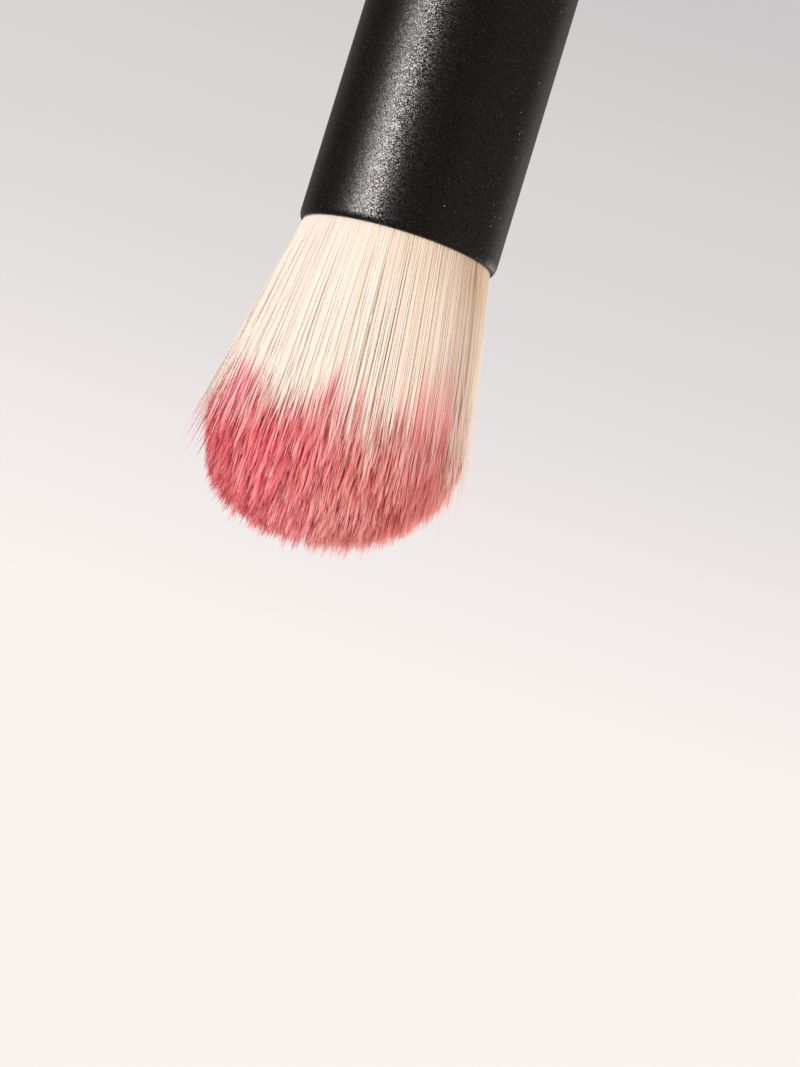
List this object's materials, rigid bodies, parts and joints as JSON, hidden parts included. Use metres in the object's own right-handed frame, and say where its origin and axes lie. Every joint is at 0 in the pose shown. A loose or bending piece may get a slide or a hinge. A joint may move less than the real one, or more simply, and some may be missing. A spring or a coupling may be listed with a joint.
{
  "type": "blending brush",
  "caption": "Round cosmetic blending brush: a domed tuft of soft hair in a straight metal ferrule on a slim turned handle with a flat end.",
  "frame": {"origin": "centre of the flat end of the handle, the lowest face of the part", "axes": "+Z along the brush's axis from the flat end of the handle to the tip of the tuft; X and Y across it, all round alike"},
  "size_m": [0.0152, 0.0152, 0.1507],
  "materials": {
    "handle_lacquer": "turned wood under a satin black lacquer",
    "ferrule_coating": "thin metal tube under a satin black coat with very fine metal flake",
    "hair": "soft cream hair, its tips stained pink by cosmetic colour",
    "thread": "undyed waxed thread",
    "resin": "clear amber casting resin",
    "cement": "set adhesive"
  },
  "bodies": {
    "root": {"handle": "handle_lacquer", "tenon_cement": "cement", "ferrule": "ferrule_coating", "root_resin_plug": "resin", "root_binding_thread": "thread", "hair_tuft": "hair"}
  },
  "joints": []
}
